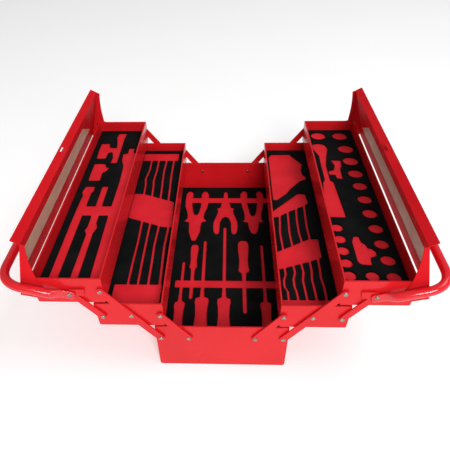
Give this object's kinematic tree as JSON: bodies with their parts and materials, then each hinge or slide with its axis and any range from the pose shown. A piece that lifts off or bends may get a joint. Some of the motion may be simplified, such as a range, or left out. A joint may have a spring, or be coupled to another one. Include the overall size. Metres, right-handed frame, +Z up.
{
  "type": "toolbox with trays",
  "caption": "Cantilever toolbox: a base tray with stepped side trays that swing out level on linkage bars, hinged lids, tubular carrying handles and cut foam inserts.",
  "frame": {"origin": "centre of the footprint, at the underside of the base tray, with the box fully open", "axes": "+X to the right-hand handle, +Y to the rear along the trays, +Z up"},
  "size_m": [0.6174, 0.4846, 0.2713],
  "materials": {
    "red_enamel": "gloss",
    "bright_steel": "satin",
    "tool_foam": "matte"
  },
  "bodies": {
    "base": {"base_tray": "red_enamel", "foam_base": "tool_foam", "rivet_b1_left_front": "bright_steel", "rivet_b1_left_rear": "bright_steel", "rivet_b1_right_front": "bright_steel", "rivet_b1_right_rear": "bright_steel", "rivet_b2_left_front": "bright_steel", "rivet_b2_left_rear": "bright_steel", "rivet_b2_right_front": "bright_steel", "rivet_b2_right_rear": "bright_steel"},
    "long_bars_left": {"long_bar_left_front": "red_enamel", "long_bar_left_rear": "red_enamel"},
    "inner_bars_left": {"inner_bar_left_front": "red_enamel", "inner_bar_left_rear": "red_enamel"},
    "middle_left": {"middle_tray_left": "red_enamel", "foam_middle_left": "tool_foam", "rivet_m1_left_front": "bright_steel", "rivet_m1_left_rear": "bright_steel", "rivet_m2_left_front": "bright_steel", "rivet_m2_left_rear": "bright_steel", "rivet_m3_left_front": "bright_steel", "rivet_m3_left_rear": "bright_steel"},
    "upper_left": {"upper_tray_left": "red_enamel", "foam_upper_left": "tool_foam", "rivet_u1_left_front": "bright_steel", "rivet_u1_left_rear": "bright_steel", "rivet_u2_left_front": "bright_steel", "rivet_u2_left_rear": "bright_steel", "rivet_lid_left_front": "red_enamel", "rivet_lid_left_rear": "red_enamel"},
    "grip_left": {"handle_left": "red_enamel", "outer_link_left_front": "red_enamel", "outer_link_left_rear": "red_enamel"},
    "cover_left": {"lid_left": "red_enamel"},
    "long_bars_right": {"long_bar_right_front": "red_enamel", "long_bar_right_rear": "red_enamel"},
    "inner_bars_right": {"inner_bar_right_front": "red_enamel", "inner_bar_right_rear": "red_enamel"},
    "middle_right": {"middle_tray_right": "red_enamel", "foam_middle_right": "tool_foam", "rivet_m1_right_front": "bright_steel", "rivet_m1_right_rear": "bright_steel", "rivet_m2_right_front": "bright_steel", "rivet_m2_right_rear": "bright_steel", "rivet_m3_right_front": "bright_steel", "rivet_m3_right_rear": "bright_steel"},
    "upper_right": {"upper_tray_right": "red_enamel", "foam_upper_right": "tool_foam", "rivet_u1_right_front": "bright_steel", "rivet_u1_right_rear": "bright_steel", "rivet_u2_right_front": "bright_steel", "rivet_u2_right_rear": "bright_steel", "rivet_lid_right_front": "red_enamel", "rivet_lid_right_rear": "red_enamel"},
    "grip_right": {"handle_right": "red_enamel", "outer_link_right_front": "red_enamel", "outer_link_right_rear": "red_enamel"},
    "cover_right": {"lid_right": "red_enamel", "hasp_staple": "red_enamel"}
  },
  "joints": [
    {"name": "left_fold", "type": "hinge", "parent": "base", "child": "long_bars_left", "pos_m": [-0.0918, 0, 0.0708], "axis": [0, 1, 0], "range_deg": [0, 78]},
    {"name": "left_inner_bars", "type": "hinge", "parent": "base", "child": "inner_bars_left", "pos_m": [-0.05, 0, 0.0708], "axis": [0, 1, 0], "range_deg": [0, 78]},
    {"name": "left_middle_tray", "type": "hinge", "parent": "long_bars_left", "child": "middle_left", "pos_m": [-0.1305, 0, 0.1222], "axis": [0, 1, 0], "range_deg": [-78, 0]},
    {"name": "left_upper_tray", "type": "hinge", "parent": "long_bars_left", "child": "upper_left", "pos_m": [-0.1686, 0, 0.1728], "axis": [0, 1, 0], "range_deg": [-78, 0]},
    {"name": "left_handle", "type": "hinge", "parent": "upper_left", "child": "grip_left", "pos_m": [-0.2104, 0, 0.1703], "axis": [0, 1, 0], "range_deg": [0, 78]},
    {"name": "left_lid", "type": "hinge", "parent": "upper_left", "child": "cover_left", "pos_m": [-0.25212, 0, 0.17096], "axis": [0, 1, 0], "range_deg": [0, 75.4]},
    {"name": "right_fold", "type": "hinge", "parent": "base", "child": "long_bars_right", "pos_m": [0.0918, 0, 0.0708], "axis": [0, -1, 0], "range_deg": [0, 78]},
    {"name": "right_inner_bars", "type": "hinge", "parent": "base", "child": "inner_bars_right", "pos_m": [0.05, 0, 0.0708], "axis": [0, -1, 0], "range_deg": [0, 78]},
    {"name": "right_middle_tray", "type": "hinge", "parent": "long_bars_right", "child": "middle_right", "pos_m": [0.1305, 0, 0.1222], "axis": [0, -1, 0], "range_deg": [-78, 0]},
    {"name": "right_upper_tray", "type": "hinge", "parent": "long_bars_right", "child": "upper_right", "pos_m": [0.1686, 0, 0.1728], "axis": [0, -1, 0], "range_deg": [-78, 0]},
    {"name": "right_handle", "type": "hinge", "parent": "upper_right", "child": "grip_right", "pos_m": [0.2104, 0, 0.1703], "axis": [0, -1, 0], "range_deg": [0, 78]},
    {"name": "right_lid", "type": "hinge", "parent": "upper_right", "child": "cover_right", "pos_m": [0.25212, 0, 0.17096], "axis": [0, -1, 0], "range_deg": [0, 75.4]}
  ],
  "couplings": [
    {"joint": "left_inner_bars", "follows": "left_fold", "ratio": 1},
    {"joint": "left_middle_tray", "follows": "left_fold", "ratio": -1},
    {"joint": "left_upper_tray", "follows": "left_fold", "ratio": -1},
    {"joint": "left_handle", "follows": "left_fold", "ratio": 1},
    {"joint": "left_lid", "follows": "left_fold", "ratio": 0.9666},
    {"joint": "right_inner_bars", "follows": "right_fold", "ratio": 1},
    {"joint": "right_middle_tray", "follows": "right_fold", "ratio": -1},
    {"joint": "right_upper_tray", "follows": "right_fold", "ratio": -1},
    {"joint": "right_handle", "follows": "right_fold", "ratio": 1},
    {"joint": "right_lid", "follows": "right_fold", "ratio": 0.9666}
  ]
}
